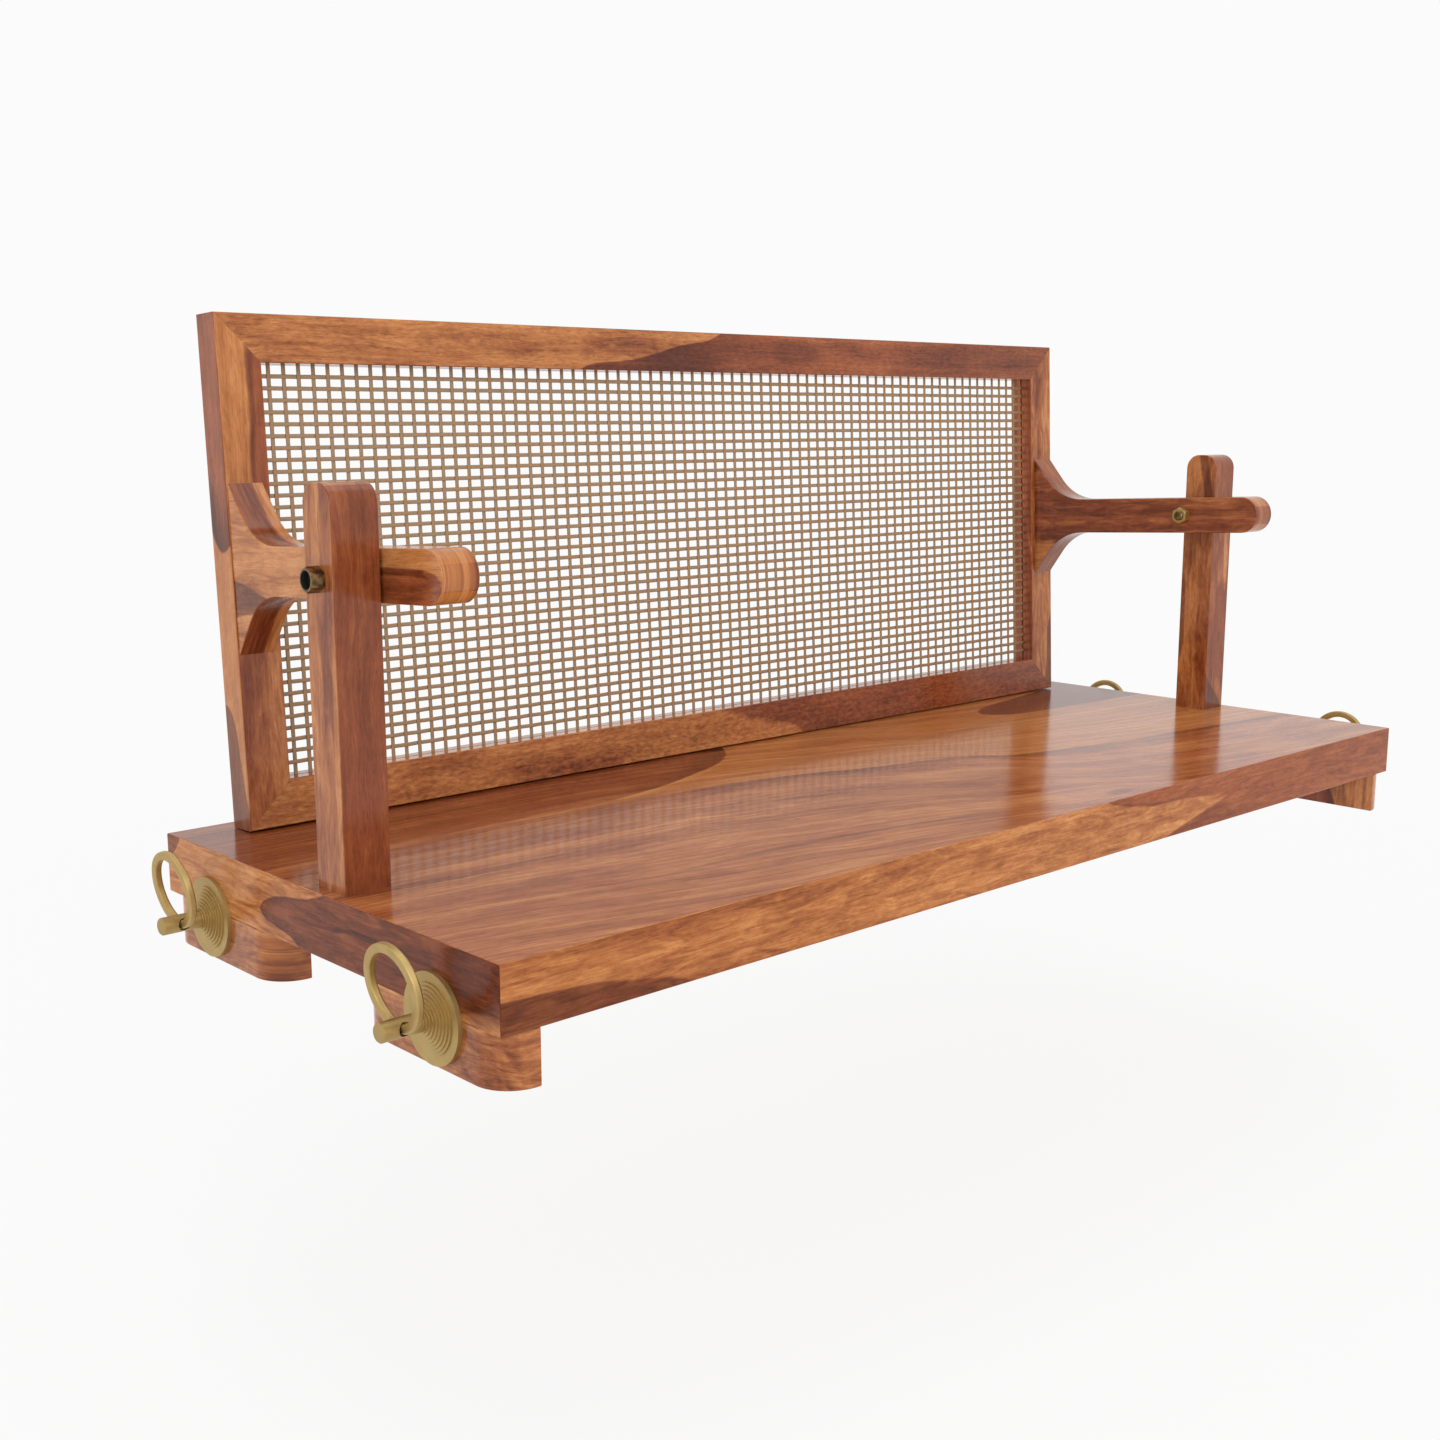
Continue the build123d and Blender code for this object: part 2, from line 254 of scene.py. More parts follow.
layers = {                                   # size along, across and inwards, and where the noise is cut
    "band": {"size": (1100, 22, 40), "cut": (0.3, 0.7)},                    # broad streaks
    "heartBand": {"size": (1100, 22, 40), "cut": (0.62, 0.78)},             # the strongest of them
    "line": {"size": (420, 3.6, 20), "cut": (0.3, 0.7), "detail": 3, "rough": 0.6},      # growth lines
    "fibre": {"size": (40, 0.8, 6), "cut": (0.25, 0.75)},                   # fine fibre
    "cloud": {"size": (110, 30, 30), "cut": (0.3, 0.7), "detail": 3},       # cloudy patches
    "figure": {"size": (55, 11, 14), "cut": (0.28, 0.72), "detail": 6, "rough": 0.62, "wisp": 1.3},
    "curl": {"size": (9, 26, 20), "cut": (0.3, 0.7)},                       # cross shimmer
    "mottle": {"size": (8, 3.2, 7), "cut": (0.3, 0.7), "detail": 3, "rough": 0.6},       # birdseye
    "pore": {"size": (8, 0.8, 3), "cut": (0.58, 0.7), "detail": 1},         # short dark pores
}
weights = {                                  # what a timber has unless its own look says otherwise
    "band": 0.25, "line": 0.1, "fibre": 0.2, "cloud": 0.3, "curl": 0.06, "mottle": 0.1, "pores": 0.22,
    "dash": 0.06, "ring": 0.06, "rings": 6.0, "figure": 0.42, "hue": 0.6, "bandHue": 0.3,
    "streakHeart": 0.35, "sway": 1.0, "swirl": 1.0, "ragged": 9, "lift": 0.0, "topLine": 0.0,
    "endRough": 0.0, "ior": 1.42,
}
patchBy = {"figure": 0.5, "mottle": 0.6, "pale": 0.3, "red": 1.2, "gold": 1.2}
patchEdge = {"soft": 3, "spot": (1.5, 0.3), "leastRise": 0.001}


def layer(place, name):                      # one layer of the grain, 0 to 1
    noiseOf = {key: value for key, value in layers[name].items() if key != "cut"}
    return smooth(noise(place, **noiseOf), *layers[name]["cut"])


def curveWire(along, points):                # height of a drawn line over the length of the grain
    first, last = points[0][0], points[-1][0]
    heights = [h for a, h in points]
    low = min(heights)
    span = max(max(heights) - low, patchEdge["leastRise"])      # a level line still divides by something
    share = along.add("MapRange", {}, {0: along, 1: first, 2: last})
    drawn = [((a - first) / (last - first), (h - low) / span) for a, h in points]
    line = share.add("FloatCurve", {"points": drawn}, {"Value": share})
    return line * span + low


def patchMask(patch, along, across):         # inside of a drawn patch, 0 to 1
    soft = patch.get("soft", patchEdge["soft"])
    mask = inside = None
    sides = (("above", along, across, 1), ("below", along, across, -1),
             ("after", across, along, 1), ("before", across, along, -1))
    for side, over, height, sign in sides:
        if side in patch:                    # one side of a line drawn over the length or the width
            gap = (height - curveWire(over, patch[side])) * sign
            inside = gap if inside is None else gap.math("MINIMUM", gap, inside)
            mask = smooth(inside, -soft, soft)
    if "fade" in patch:                      # dies away that far inside its edge
        mask = mask * smooth(inside, patch["fade"], 0)
    if "spot" in patch:                      # a round patch: place and half size, along and across
        a, c, halfA, halfC = patch["spot"]
        wideA, wideC = (along - a) / halfA, (across - c) / halfC
        mask = smooth(wideA * wideA + wideC * wideC, *patchEdge["spot"])
    if "span" in patch:                      # where it starts, is full, is last full and ends
        start, full, stay, end = patch["span"]
        reach = smooth(along, start, full) * smooth(along, end, stay)
        mask = reach if mask is None else mask * reach
    return mask * patch.get("strength", 1.0)


def grainAxes(look, axes, size, masks):      # along the grain, across it, and a place in the plank
    lengths = dict(zip("xyz", size))

    def axisOf(way):                         # "x", "-x" from the far end, or "x+y" round a corner
        if len(way) == 3:
            return axes[way[0]] + axes[way[2]] if way[1] == "+" else axes[way[0]] - axes[way[2]]
        return lengths[way[1]] - axes[way[1]] if way[0] == "-" else axes[way]

    names = list(look["faces"])
    first = look["faces"][names[0]]
    along, across = axisOf(first["along"]), axisOf(first["across"])
    depth = look["seed"] * grain["seedStep"]
    for step, name in enumerate(names):
        face = look["faces"][name]
        if step and "along" in face:         # the rest carry on the grain of the first face
            along = pick(masks[name], along, axisOf(face["along"]))
            across = pick(masks[name], across, axisOf(face["across"]))
            depth = masks[name] * (grain["faceStep"] * step) + depth
    return along, across, depth


def wander(look, plain, masks):              # the same place, swayed across the grain
    along, across, depth = plain
    wide = across + (noise(plain, grain["sway"]) - 0.5) * (2 * grain["swayBy"] * look["sway"])
    wide = wide + (noise(plain, grain["swirl"]) - 0.5) * (2 * grain["swirlBy"] * look["swirl"])
    for face, points in look.get("guides", {}).items():     # grain that follows a drawn line
        wide = wide - (curveWire(along, points) - points[0][1]) * masks[face]
    if "tilt" in look:                       # grain that slants towards the front edge
        tilt = look["tilt"]
        share = smooth(across, tilt["none"], tilt["full"]) * masks["top"]
        wide = wide + curveWire(along, tilt["rise"]) * share
    return along, wide, depth


def patchAmounts(look, plain, masks):        # where the drawn patches of each tone lie, 0 to 1
    along, across = plain[:2]
    ragged = (noise(plain, grain["ragged"], detail=3) - 0.5) * look["ragged"]
    amounts = {}
    for patch in look.get("patches", []):
        mask = patchMask(patch, along, across + ragged) * masks[patch["face"]]
        kind = patch["tone"]
        amounts[kind] = top(amounts[kind], mask) if kind in amounts else mask
    return amounts


def rosewood(node, look, place=Matrix.Identity(4)):
    look = {**weights, **look}
    material, board = newMaterial("rosewood_" + node)
    masks = faceMasks(board)
    size = highCorner(node, place) - lowCorner(node, place)
    plain = grainAxes(look, pieceAxes(board, node, place), size, masks)
    for name, face in look["faces"].items():     # a face like another one takes its patches too
        if "like" in face:
            masks[face["like"]] = masks[face["like"]] + masks[name]
    amounts = patchAmounts(look, plain, masks)

    def patched(kind):                       # what the drawn patches of a kind add
        return amounts.get(kind, 0.0) * patchBy[kind]

    spot = wander(look, plain, masks)
    along, wide, depth = spot
    even = {}                                # layers that lighten as much as they darken
    for name in ("band", "line", "fibre", "cloud", "figure", "mottle"):
        even[name] = layer(spot, name) - 0.5
    curl = layer((along + wide * grain["curlSlant"], wide, depth), "curl") - 0.5
    pore = layer(spot, "pore")
    turns = wide * (1 / grain["ring"]) + noise(spot, grain["flow"]) * (2 * look["rings"])
    ring = turns.math("SINE", turns * math.tau)
    dash = smooth(noise(spot, grain["dash"]) - ring * grain["ringDash"], *grain["dashCut"])

    lineBy = masks["top"] * look["topLine"] + look["line"]
    tone = even["line"] * lineBy + even["band"] * look["band"]
    tone = tone + even["fibre"] * look["fibre"] + even["cloud"] * look["cloud"]
    tone = tone - ring * (look["ring"] / 2) - dash * look["dash"]
    tone = tone + even["figure"] * (patched("figure") + look["figure"])
    tone = tone + even["mottle"] * (patched("mottle") + look["mottle"])
    tone = tone + curl * look["curl"] + (patched("pale") + (grain["middle"] + look["lift"]))
    tone = clamp(tone)
    ramps = {name: tone.add("ValToRGB", {"stops": stops}, {0: tone}) for name, stops in tones.items()}
    redness = look["red"] - even["band"] * look["bandHue"]
    redness = redness - (even["cloud"] + even["figure"]) * look["hue"]
    redness = redness + patched("red") - patched("gold")
    colour = tint(clamp(redness), ramps["gold"], ramps["red"])
    dark = layer(spot, "heartBand") * look["streakHeart"]
    if "heart" in amounts:
        dark = top(dark, amounts["heart"])
    colour = tint(clamp(dark), colour, ramps["heart"])
    colour = shade(colour, 1 - pore * look["pores"])

    roughness = even["fibre"] * finish["fibreRoughness"] + pore * finish["poreRoughness"]
    roughness = roughness + masks["left"] * look["endRough"]     # end grain takes less polish
    roughness = roughness + finish["roughness"]
    height = even["line"] * relief["line"] + even["fibre"] * relief["fibre"]
    height = height + pore * relief["pore"] + dash * relief["dash"]
    principled(board, {"Base Color": colour, "Roughness": roughness, "IOR": look["ior"],
                       "Normal": bumped(height, finish)})
    dress([node], material)


# Seat board: long streaks, a dark tongue at the back and gold behind a dark growth line
seatLine = [(0, 350), (380, 349), (450, 338), (520, 331), (620, 312), (700, 286), (820, 255), (900, 213),
            (1000, 190), (1150, 167), (1370, 146)]
seatTongue = [(0, 345), (150, 352), (350, 352), (420, 356), (480, 370), (540, 390), (600, 415), (640, 445),
              (668, 482), (690, 560)]
endLow = [(0, 24), (23, 14), (53, 5), (88, -4), (268, -4), (303, 7), (333, 12), (348, 15), (358, 26)]
endHigh = [(0, 62), (225, 62), (253, 52), (283, 45), (313, 40), (333, 36), (348, 30), (358, 18)]
seatWood = {
    "seed": 3, "red": 0.75, "ragged": 7, "sway": 0.4, "swirl": 0.45, "band": 0.14, "line": 0.16,
    "cloud": 0.12, "streakHeart": 0.03, "ring": 0.03, "rings": 8, "lift": -0.05, "bandHue": 0.2,
    "figure": 0.06, "ior": 1.28, "fibre": 0.28, "hue": 0.4, "topLine": 0.24, "endRough": 0.06,
    "guides": {"top": seatLine},
    "tilt": {"rise": [(0, 0), (600, 80), (1370, 80)], "none": 330, "full": 20},
    "faces": {
        "top": {"along": "x", "across": "y"},
        "bottom": {"along": "x", "across": "y", "like": "top"},
        "front": {"along": "x", "across": "z"},
        "back": {"along": "-x", "across": "z", "like": "front"},
        "left": {"along": "y", "across": "z"},
        "right": {"along": "-y", "across": "z", "like": "left"},
    },
    "patches": [
        {"face": "top", "tone": "pale", "below": seatLine, "strength": 0.72, "soft": 20},
        {"face": "top", "tone": "pale", "above": seatLine, "strength": 0.2, "soft": 20},
        {"face": "top", "tone": "gold", "above": seatLine, "strength": 0.75, "soft": 4},
        {"face": "top", "tone": "heart", "below": seatLine, "fade": 34, "soft": 3, "strength": 0.62,
         "span": (430, 540, 1300, 1370)},
        {"face": "top", "tone": "red", "above": seatTongue, "soft": 3},
        {"face": "top", "tone": "heart", "above": seatTongue, "strength": 0.22, "soft": 3},
        {"face": "top", "tone": "heart", "above": seatTongue, "strength": 0.85, "soft": 3, "fade": 70,
         "span": (330, 560, 700, 720)},
        {"face": "top", "tone": "heart", "strength": 0.26, "soft": 14,
         "above": [(0, 240), (200, 255), (330, 280), (420, 320), (470, 350)],
         "below": [(0, 345), (150, 352), (350, 352), (470, 352)]},
        {"face": "top", "tone": "pale", "below": seatTongue, "strength": 0.9, "soft": 2, "fade": 16,
         "span": (385, 430, 560, 640)},
        {"face": "top", "tone": "heart", "strength": 0.85, "soft": 3,
         "above": [(1066, 425), (1085, 394), (1110, 381), (1160, 375), (1250, 368), (1370, 360)],
         "below": [(1066, 395), (1085, 428), (1110, 440), (1160, 452), (1220, 463), (1290, 480),
                   (1370, 520)]},
        {"face": "top", "tone": "heart", "strength": 0.5, "soft": 3, "span": (180, 300, 560, 690),
         "above": [(180, 99), (300, 96), (420, 90), (500, 79), (600, 58), (690, 40)],
         "below": [(180, 105), (300, 104), (420, 99), (500, 87), (600, 67), (690, 50)]},
        {"face": "top", "tone": "heart", "strength": 0.5, "soft": 3, "span": (-10, 0, 140, 230),
         "above": [(0, 222), (80, 216), (160, 210), (230, 216)],
         "below": [(0, 231), (80, 226), (160, 219), (230, 222)]},
        {"face": "top", "tone": "heart", "strength": 0.22, "soft": 6, "span": (480, 560, 900, 1000),
         "above": [(480, 232), (620, 212), (760, 175), (900, 120), (1000, 95)],
         "below": [(480, 246), (620, 230), (760, 195), (900, 138), (1000, 108)]},
        {"face": "top", "tone": "pale", "spot": (790, 60, 60, 26), "strength": 0.6},
        {"face": "top", "tone": "heart", "spot": (812, 22, 22, 9), "strength": 0.6},
        {"face": "front", "tone": "heart", "strength": 0.8, "soft": 1.5,
         "below": [(0, 27), (60, 25), (100, 21), (135, 14), (170, 6), (210, -6)]},
        {"face": "front", "tone": "gold", "span": (-10, 0, 900, 1000), "strength": 0.5},
        {"face": "front", "tone": "mottle", "span": (140, 320, 860, 960), "strength": 0.12},
        {"face": "front", "tone": "red", "span": (-10, 0, 180, 320), "strength": 0.25},
        {"face": "front", "tone": "pale", "span": (330, 760, 1370, 1380), "strength": 0.5},
        {"face": "front", "tone": "figure", "span": (-10, 0, 1370, 1380), "strength": 0.65},
        {"face": "left", "tone": "figure", "span": (-10, 0, 533, 543), "strength": 1.0},
        {"face": "front", "tone": "red", "soft": 1.5, "strength": 1.6,
         "above": [(740, 64), (770, 52), (800, 46), (850, 41), (900, 39), (950, 35), (992, 28), (1010, -8),
                   (1370, -8)]},
        {"face": "front", "tone": "heart", "soft": 1.5, "strength": 0.7, "fade": 5,
         "span": (740, 770, 860, 940),
         "above": [(740, 64), (770, 50), (800, 44), (850, 39), (900, 38), (950, 35)]},
        {"face": "front", "tone": "red", "soft": 1.5, "strength": 1.6,
         "below": [(850, -6), (890, 7), (930, 15), (965, 22), (1000, 28)]},
        {"face": "front", "tone": "heart", "soft": 2, "strength": 0.5, "span": (860, 900, 960, 1060),
         "below": [(850, -6), (890, 7), (930, 15), (965, 20), (1060, 16)]},
        {"face": "left", "tone": "gold", "span": (-10, 0, 533, 543), "strength": 0.6},
        {"face": "left", "tone": "pale", "span": (340, 380, 533, 543), "strength": 0.5},
        {"face": "left", "tone": "heart", "strength": 0.62, "soft": 1.2, "above": endLow, "below": endHigh},
        {"face": "left", "tone": "red", "strength": 1.0, "soft": 1.2, "above": endLow, "below": endHigh},
        {"face": "left", "tone": "heart", "strength": 1.0, "soft": 1.2, "fade": 6,
         "span": (200, 230, 360, 370),
         "above": [(200, -40), *endLow[4:]], "below": [(200, 80), *endHigh[1:]]},
        {"face": "left", "tone": "heart", "spot": (30, 38, 50, 34), "strength": 1.0},
        {"face": "left", "tone": "heart", "strength": 0.98, "soft": 2, "span": (60, 100, 280, 330),
         "above": [(60, 40), (110, 30), (170, 33), (240, 26), (330, 24)],
         "below": [(60, 44), (110, 36), (170, 38), (240, 32), (330, 27)]},
        {"face": "left", "tone": "heart", "strength": 0.95, "soft": 2, "span": (60, 90, 160, 220),
         "above": [(60, 14), (120, 12), (160, 18), (220, 20)],
         "below": [(60, 18), (120, 18), (160, 22), (220, 22)]},
        {"face": "left", "tone": "heart", "strength": 0.8, "soft": 1.2,
         "above": [(500, 66), (515, 45), (524, 38), (533, 36)]},
    ],
}
rosewood("seat_board", seatWood)
print("seat board finished")

# Back frame: gold running into dark wood along both rails
railFaces = {
    "front": {"along": "x", "across": "z"},
    "back": {"along": "-x", "across": "z", "like": "front"},
    "top": {"along": "x", "across": "y"},
    "bottom": {"along": "-x", "across": "y", "like": "top"},
}
topRailLine = [(405, -8), (440, 7), (480, 11), (520, 17), (560, 28), (600, 35), (660, 54), (700, 60),
               (1256, 60)]
topRailWood = {
    "seed": 7, "red": 0.05, "band": 0.22, "line": 0.2, "mottle": 0.25, "pores": 0.3, "ragged": 5,
    "sway": 0.5, "dash": 0.12, "rings": 9, "figure": 0.2, "faces": railFaces,
    "patches": [
        {"face": "front", "tone": "red", "soft": 1.2, "strength": 1.2, "below": topRailLine},
        {"face": "front", "tone": "heart", "soft": 1.2, "strength": 0.9, "span": (400, 430, 590, 700),
         "below": topRailLine},
        {"face": "front", "tone": "heart", "spot": (750, 24, 40, 16), "strength": 0.5},
        {"face": "front", "tone": "heart", "spot": (1090, 20, 120, 24), "strength": 0.45},
        {"face": "top", "tone": "red", "span": (560, 720, 1256, 1270), "strength": 0.8},
    ],
}
bottomRailLine = [(570, 54), (640, 35), (680, 25), (720, 15), (785, -8), (900, -20), (1256, -20)]
bottomRailWood = {
    "seed": 12, "red": 0.3, "band": 0.2, "line": 0.15, "mottle": 0.42, "ragged": 5, "sway": 0.5,
    "rings": 8, "cloud": 0.2, "figure": 0.15, "lift": -0.02, "streakHeart": 0.1, "faces": railFaces,
    "patches": [
        {"face": "front", "tone": "red", "soft": 7, "strength": 0.9, "above": bottomRailLine},
        {"face": "front", "tone": "heart", "soft": 7, "strength": 0.4, "fade": 60, "above": bottomRailLine,
         "span": (570, 640, 820, 960)},
        {"face": "front", "tone": "gold", "soft": 3, "strength": 0.5, "span": (430, 500, 680, 760),
         "below": bottomRailLine},
        {"face": "top", "tone": "red", "span": (560, 720, 1256, 1270), "strength": 0.8},
    ],
}
rosewood("top_rail", topRailWood, backPlace)
rosewood("bottom_rail", bottomRailWood, backPlace)

stileFaces = {
    "front": {"along": "z", "across": "x"},
    "back": {"along": "-z", "across": "x", "like": "front"},
    "left": {"along": "z", "across": "y"},
    "right": {"along": "-z", "across": "y", "like": "left"},
}
stileLine = [(0, 268), (14, 262), (26, 270), (34, 285)]     # gold below, dark above
stileLeftWood = {
    "seed": 19, "red": 0.42, "lift": 0.05, "figure": 0.25, "faces": stileFaces, "sway": 0.4, "ragged": 4,
    "patches": [
        {"face": "front", "tone": "gold", "span": (250, 330, 479, 490), "strength": 0.6,
         "below": [(250, 28), (340, 27), (400, 31), (440, 30), (479, 40)], "soft": 2},
        {"face": "front", "tone": "red", "span": (250, 330, 479, 490), "strength": 0.9,
         "above": [(250, 28), (340, 29), (400, 33), (440, 32), (479, 42)], "soft": 2},
        {"face": "front", "tone": "heart", "span": (300, 350, 440, 470), "strength": 0.8,
         "above": [(250, 25), (340, 26), (400, 29), (440, 28), (479, 36)],
         "below": [(250, 28), (340, 31), (400, 35), (440, 36), (479, 41)], "soft": 2},
        {"face": "front", "tone": "red", "span": (-10, 0, 165, 220), "strength": 0.3},
        {"face": "left", "tone": "gold", "before": stileLine, "soft": 2},
        {"face": "left", "tone": "pale", "before": stileLine, "soft": 2, "strength": 0.4},
        {"face": "left", "tone": "red", "after": stileLine, "soft": 2, "strength": 0.7},
        {"face": "left", "tone": "heart", "after": stileLine, "soft": 2, "fade": 85, "strength": 0.9},
        {"face": "left", "tone": "heart", "strength": 0.75, "soft": 1.2, "span": (-10, 0, 116, 122),
         "above": [(0, -2), (20, 1), (30, 4), (70, 10), (100, 16), (112, 22), (122, 40)]},
    ],
}
stileRightWood = {
    "seed": 23, "red": 0.65, "faces": stileFaces, "sway": 0.4, "ragged": 4,
    "patches": [
        {"face": "front", "tone": "gold", "span": (-10, 0, 200, 300), "strength": 0.35},
        {"face": "front", "tone": "heart", "strength": 0.75, "soft": 1.2, "span": (-10, 0, 95, 112),
         "above": [(0, 26), (20, 30), (60, 34), (95, 37), (112, 50)]},
        {"face": "left", "tone": "red", "span": (-10, 0, 479, 490), "strength": 0.5},
    ],
}
rosewood("stile_left", stileLeftWood, backPlace)
rosewood("stile_right", stileRightWood, backPlace)
print("back frame finished")

# Arms: grain from the nose to the frame
armFaces = {
    "top": {"along": "y", "across": "x"},
    "bottom": {"like": "top"},
    "left": {"along": "y", "across": "z"},
    "right": {"along": "-y", "across": "z", "like": "left"},
}
armStripe = [(190, 19), (240, 24), (342, 25)]
armLeftWood = {
    "seed": 31, "red": 0.45, "faces": armFaces, "sway": 0.3, "swirl": 0.6, "ragged": 3,
    "patches": [
        {"face": "left", "tone": "gold", "span": (100, 130, 342, 350), "strength": 0.5},
        {"face": "left", "tone": "pale", "span": (100, 130, 342, 350), "strength": 0.4},
        {"face": "left", "tone": "heart", "strength": 0.8, "soft": 1.2,
         "above": [(266, 56), (282, 44), (302, 40), (322, 38), (342, 35)],
         "below": [(266, 42), (282, 54), (302, 60), (322, 66), (342, 70)]},
        {"face": "left", "tone": "gold", "strength": 0.8, "soft": 1.5, "span": (-10, 0, 100, 130),
         "above": [(0, 74), (20, 84), (100, 84), (130, 84)]},
        {"face": "left", "tone": "red", "strength": 1.0, "soft": 1.5, "span": (-10, 14, 100, 130),
         "below": [(0, 70), (20, 82), (100, 82), (130, 82)]},
        {"face": "left", "tone": "heart", "strength": 0.9, "soft": 1.2, "span": (14, 30, 100, 120),
         "above": [(0, 74), (20, 78), (60, 80), (100, 79)],
         "below": [(0, 76), (20, 84), (60, 86), (100, 85)]},
        {"face": "left", "tone": "heart", "spot": (60, 66, 36, 9), "strength": 0.5},
        {"face": "top", "tone": "red", "span": (150, 200, 342, 350), "strength": 0.8},
        {"face": "top", "tone": "heart", "span": (180, 230, 342, 350), "strength": 0.35, "soft": 1.2,
         "below": [(180, 17), (240, 22), (342, 23)]},
        {"face": "top", "tone": "gold", "span": (-10, 0, 100, 140), "strength": 0.7},
        {"face": "top", "tone": "gold", "soft": 1.2, "strength": 1.0, "span": (190, 215, 342, 350),
         "above": armStripe},
        {"face": "top", "tone": "pale", "soft": 1.2, "strength": 0.5, "span": (190, 215, 342, 350),
         "above": armStripe},
    ],
}
armRightWood = {
    "seed": 37, "red": 0.95, "faces": armFaces, "sway": 0.3, "swirl": 0.5, "ragged": 3, "lift": -0.1,
    "patches": [
        {"face": "left", "tone": "heart", "strength": 0.35, "soft": 5,
         "above": [(0, 80), (150, 77), (342, 82)], "below": [(0, 90), (150, 86), (342, 94)]},
        {"face": "left", "tone": "gold", "strength": 0.9, "soft": 1.2,
         "below": [(0, 58), (60, 59.5), (110, 58), (150, 50), (342, 40)]},
        {"face": "left", "tone": "gold", "spot": (330, 34, 26, 22), "strength": 0.7},
        {"face": "top", "tone": "gold", "span": (-10, 0, 20, 45), "strength": 0.8},
    ],
}
rosewood("arm_left", armLeftWood, backPlace)
rosewood("arm_right", armRightWood, backPlace)
print("arms finished")

# Posts: upright grain, tenon included at the low end
postFaces = {
    "front": {"along": "z", "across": "x"},
    "back": {"like": "front"},
    "left": {"along": "z", "across": "y"},
    "right": {"along": "-z", "across": "y", "like": "left"},
}
postEdge = [(30, 7), (150, 8), (250, 6), (320, -2)]
postLeftWood = {
    "seed": 41, "red": 0.85, "band": 0.15, "line": 0.12, "figure": 0.22, "lift": -0.02, "faces": postFaces,
    "sway": 0.6, "swirl": 1.6, "ragged": 5,
    "patches": [
        {"face": "front", "tone": "red", "span": (30, 40, 376, 380), "strength": 0.4},
        {"face": "front", "tone": "heart", "span": (30, 40, 376, 380), "strength": 0.3},
        {"face": "front", "tone": "heart", "span": (120, 200, 370, 380), "strength": 0.55, "soft": 6,
         "above": [(120, 16), (376, 14)], "below": [(120, 30), (376, 34)]},
        {"face": "left", "tone": "gold", "span": (30, 40, 376, 380), "strength": 0.2},
        {"face": "left", "tone": "heart", "span": (150, 190, 270, 330), "strength": 0.28, "soft": 2.5,
         "above": [(150, 20), (200, 17), (270, 12), (330, 8)],
         "below": [(150, 25), (200, 23), (270, 17), (330, 11)]},
        {"face": "left", "tone": "gold", "span": (30, 60, 250, 320), "strength": 0.7, "soft": 1,
         "below": postEdge},
        {"face": "left", "tone": "pale", "span": (30, 60, 250, 320), "strength": 0.35, "soft": 1,
         "below": postEdge},
    ],
}
postRightWood = {
    "seed": 43, "red": 0.6, "band": 0.15, "line": 0.12, "figure": 0.28, "faces": postFaces,
    "sway": 0.6, "swirl": 1.6, "ragged": 5,
    "patches": [
        {"face": "left", "tone": "gold", "span": (30, 40, 376, 380), "strength": 0.45, "soft": 1.5,
         "above": [(30, 18), (260, 18), (330, 17), (376, 22)]},
        {"face": "left", "tone": "mottle", "span": (30, 40, 376, 380), "strength": 0.15},
        {"face": "left", "tone": "heart", "strength": 0.8, "soft": 2,
         "above": [(250, -20), (300, -4), (330, 3), (376, 13)],
         "below": [(250, -8), (300, 9), (330, 16), (376, 25)]},
        {"face": "left", "tone": "heart", "span": (90, 120, 200, 240), "strength": 0.7, "soft": 1.2,
         "above": [(90, 42), (170, 36), (240, 43)]},
        {"face": "front", "tone": "heart", "soft": 1.2, "strength": 0.75,
         "before": [(0, 90), (8, 78), (20, 66), (30, 56), (40, 40), (44, 30)]},
        {"face": "front", "tone": "pale", "spot": (250, 36, 50, 7), "strength": 0.8},
        {"face": "front", "tone": "gold", "spot": (250, 36, 50, 7), "strength": 0.8},
        {"face": "front", "tone": "red", "span": (60, 100, 376, 380), "strength": 0.3},
    ],
}
rosewood("post_left", postLeftWood)
rosewood("post_right", postRightWood)

# Corner blocks: curly offcuts, each from another place in the plank
blockWood = {
    "red": 0.38, "curl": 0.2, "mottle": 0.15, "sway": 1.2, "streakHeart": 0.15, "ring": 0.12, "rings": 8,
}
blockSeeds = {"first": 51, "step": 4}
blockWraps = {"front_left": "x-y", "back_left": "x+y", "front_right": "x+y", "back_right": "x-y"}
blockLine = [(0, 48), (20, 56), (46, 67)]
blockLooks = {"front_right": {                # upright grain, dark wood behind a slanted line
    "ragged": 2, "line": 0.3, "figure": 0.15, "patches": [
        {"face": "left", "tone": "gold", "strength": 0.6, "soft": 1.5, "below": blockLine},
        {"face": "left", "tone": "red", "strength": 1.0, "soft": 1.5, "above": blockLine},
        {"face": "left", "tone": "heart", "strength": 0.6, "soft": 1.5, "above": blockLine},
        {"face": "left", "tone": "heart", "strength": 0.45, "soft": 1.5,
         "above": [(0, 33), (46, 37)], "below": [(0, 37), (46, 41)]},
        {"face": "left", "tone": "heart", "strength": 0.5, "soft": 1.5,
         "above": [(0, 7), (46, 7)], "below": [(0, 12), (46, 13)]},
    ]}}
for step, (corner, wrap) in enumerate(blockWraps.items()):
    along, across = ("z", wrap) if corner in blockLooks else (wrap, "z")
    faces = {"left": {"along": along, "across": across}, "bottom": {"along": "y", "across": "x"}}
    extra = blockLooks.get(corner, {})
    seed = blockSeeds["first"] + blockSeeds["step"] * step
    rosewood("corner_block_" + corner, {**blockWood, **extra, "seed": seed, "faces": faces})
print("posts and blocks finished")

